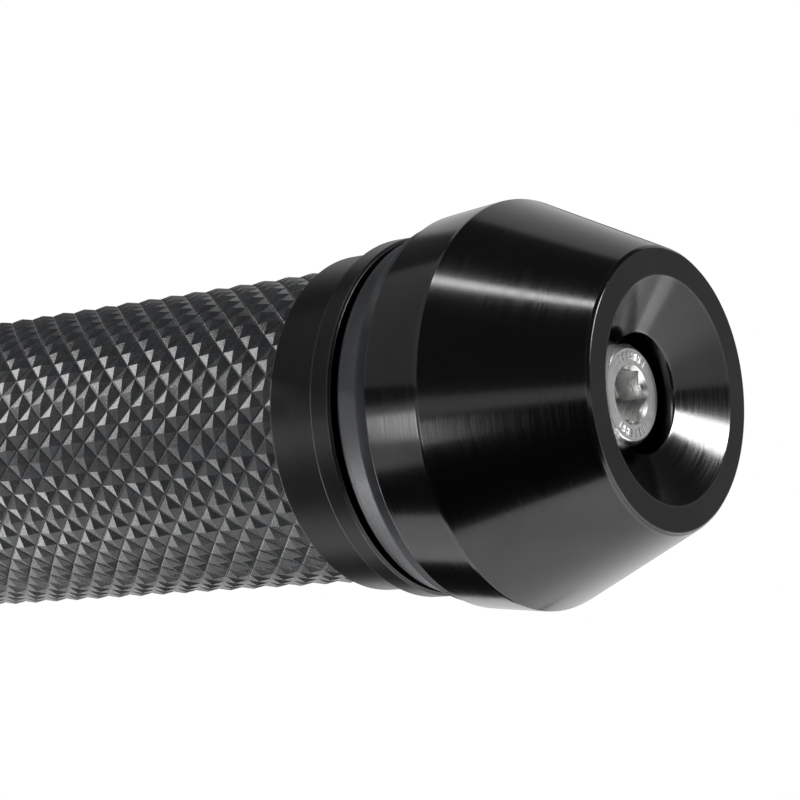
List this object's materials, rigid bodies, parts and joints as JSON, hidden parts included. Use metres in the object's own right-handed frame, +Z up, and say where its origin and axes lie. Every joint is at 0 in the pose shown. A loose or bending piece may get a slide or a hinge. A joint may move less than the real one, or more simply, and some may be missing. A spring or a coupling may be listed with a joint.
{
  "type": "bar end grip",
  "caption": "Lock-on rubber handlebar grip with a collar, a cushion ring and a turned bar end weight that a screw-drawn jaw expander holds in the bar.",
  "frame": {"origin": "centre of the handlebar bore's inboard mouth", "axes": "+X along the bar, outboard to the weight's face; +Z up, with the lock ring's screw below the bar"},
  "size_m": [0.1572, 0.041, 0.041],
  "materials": {
    "grip_rubber": "moulded pyramid pattern, dull",
    "core_nylon": "moulded, dull",
    "satin_anodised": "black anodised, satin",
    "bright_anodised": "turned and black anodised, bright",
    "cushion_rubber": "moulded, satin",
    "stainless": "cold headed, bright",
    "zinc_steel": "zinc plated, satin",
    "black_steel": "black oxide, oiled",
    "bush_nylon": "turned, natural",
    "machined_aluminium": "machined, satin",
    "band_rubber": "moulded, dull"
  },
  "bodies": {
    "grip": {"grip_rubber": "grip_rubber", "core_sleeve": "core_nylon", "end_collar": "satin_anodised", "collar_grub_screws": "black_steel", "lock_ring": "satin_anodised"},
    "lock_screw": {"lock_screw": "black_steel"},
    "bar_end": {"end_weight": "bright_anodised", "cushion_ring": "cushion_rubber", "head_washer": "zinc_steel", "spring_washer": "zinc_steel", "centring_bush": "bush_nylon", "front_wedge": "machined_aluminium"},
    "cap_screw": {"cap_screw": "stainless"},
    "rear_wedge": {"rear_wedge": "machined_aluminium", "wedge_nut": "zinc_steel"},
    "jaw_1": {"jaw_1": "machined_aluminium", "front_band": "band_rubber", "rear_band": "band_rubber"},
    "jaw_2": {"jaw_2": "machined_aluminium"},
    "jaw_3": {"jaw_3": "machined_aluminium"}
  },
  "joints": [
    {"name": "bar_end_pull", "type": "slide", "parent": "grip", "child": "bar_end", "axis": [1, 0, 0], "range_m": [0, 0.045]},
    {"name": "lock_screw_turn", "type": "hinge", "parent": "grip", "child": "lock_screw", "pos_m": [0.005, 0, -0.015], "axis": [0, 1, 0], "range_deg": [0, 1080]},
    {"name": "cap_screw_turn", "type": "hinge", "parent": "bar_end", "child": "cap_screw", "pos_m": [0.1468, 0, 0], "axis": [-1, 0, 0], "range_deg": [-1440, 720]},
    {"name": "wedge_draw", "type": "slide", "parent": "bar_end", "child": "rear_wedge", "axis": [1, 0, 0], "range_m": [-0.00401, 0.00201]},
    {"name": "jaw_1_slide", "type": "slide", "parent": "bar_end", "child": "jaw_1", "axis": [0.9781, 0, 0.2079], "range_m": [-0.00206, 0.00104], "deforming": ["front_band", "rear_band"]},
    {"name": "jaw_2_slide", "type": "slide", "parent": "bar_end", "child": "jaw_2", "axis": [0.9781, -0.1801, -0.104], "range_m": [-0.00206, 0.00104]},
    {"name": "jaw_3_slide", "type": "slide", "parent": "bar_end", "child": "jaw_3", "axis": [0.9781, 0.1801, -0.104], "range_m": [-0.00206, 0.00104]}
  ],
  "couplings": [
    {"joint": "wedge_draw", "follows": "cap_screw_turn", "m_per_rad": 0.00015915},
    {"joint": "jaw_1_slide", "follows": "cap_screw_turn", "m_per_rad": 0.000081355},
    {"joint": "jaw_2_slide", "follows": "cap_screw_turn", "m_per_rad": 0.000081355},
    {"joint": "jaw_3_slide", "follows": "cap_screw_turn", "m_per_rad": 0.000081355}
  ]
}
